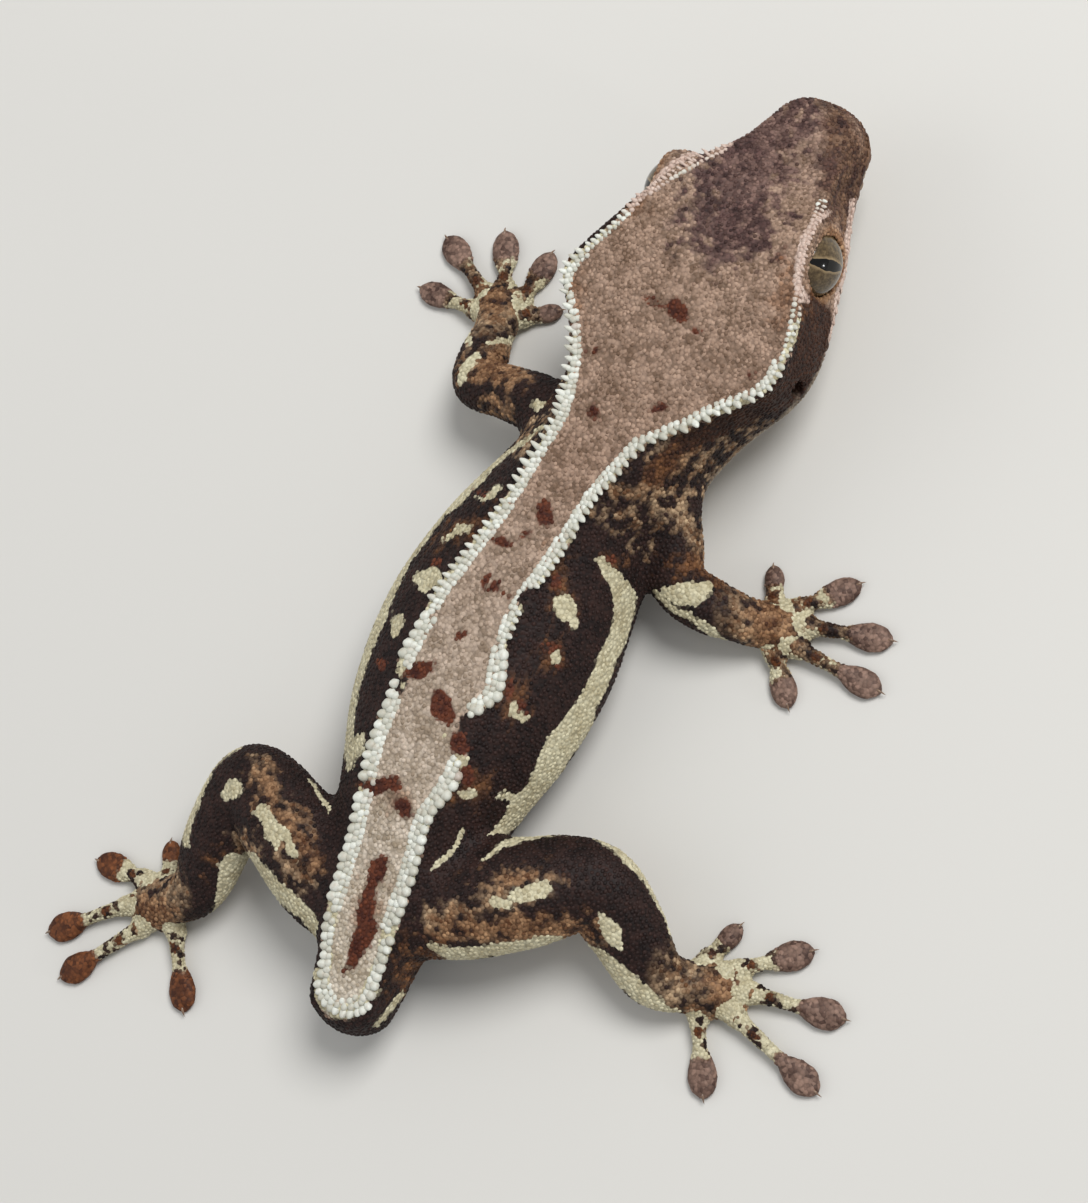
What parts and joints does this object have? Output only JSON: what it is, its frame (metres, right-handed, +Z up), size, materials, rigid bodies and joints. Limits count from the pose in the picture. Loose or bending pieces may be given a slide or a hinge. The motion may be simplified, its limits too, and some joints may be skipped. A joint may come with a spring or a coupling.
{
  "type": "crested gecko",
  "caption": "Life-size crested gecko standing low on four splayed feet, with a spiny crest from brows to back and a healed tail stub.",
  "frame": {"origin": "centre of the footprint on the floor, midway along and across the whole animal", "axes": "+Z up, the head points along -Y, and the animal's left side is +X"},
  "size_m": [0.0914, 0.1236, 0.0199],
  "materials": {
    "back": "dry, finely beaded scaly skin, tan with cream crests",
    "cream": "dry, finely beaded scaly skin, pale cream",
    "flank": "dry, finely beaded scaly skin, dark chocolate brown",
    "foot": "dry scaly skin, brown speckled with cream",
    "toe_pad": "soft matte skin, reddish brown",
    "eye": "wet gloss, olive grey iris with a black slit pupil"
  },
  "bodies": {
    "root": {"eye_left": "eye", "eye_right": "eye", "finger_left_1": "toe_pad", "finger_left_2": "toe_pad", "finger_left_3": "toe_pad", "finger_left_4": "toe_pad", "finger_left_5": "toe_pad", "finger_right_1": "toe_pad", "finger_right_2": "toe_pad", "finger_right_3": "toe_pad", "finger_right_4": "toe_pad", "finger_right_5": "toe_pad", "foot_left": "foot", "foot_right": "foot", "forearm_left": "flank", "forearm_right": "flank", "hand_left": "foot", "hand_right": "foot", "head": "back", "lower_jaw": "cream", "neck": "back", "shin_left": "flank", "shin_right": "flank", "tail_stub": "cream", "thigh_left": "flank", "thigh_right": "flank", "toe_left_1": "toe_pad", "toe_left_2": "toe_pad", "toe_left_3": "toe_pad", "toe_left_4": "toe_pad", "toe_left_5": "toe_pad", "toe_right_1": "toe_pad", "toe_right_2": "toe_pad", "toe_right_3": "toe_pad", "toe_right_4": "toe_pad", "toe_right_5": "toe_pad", "torso": "back", "upper_arm_left": "flank", "upper_arm_right": "flank"}
  },
  "joints": []
}
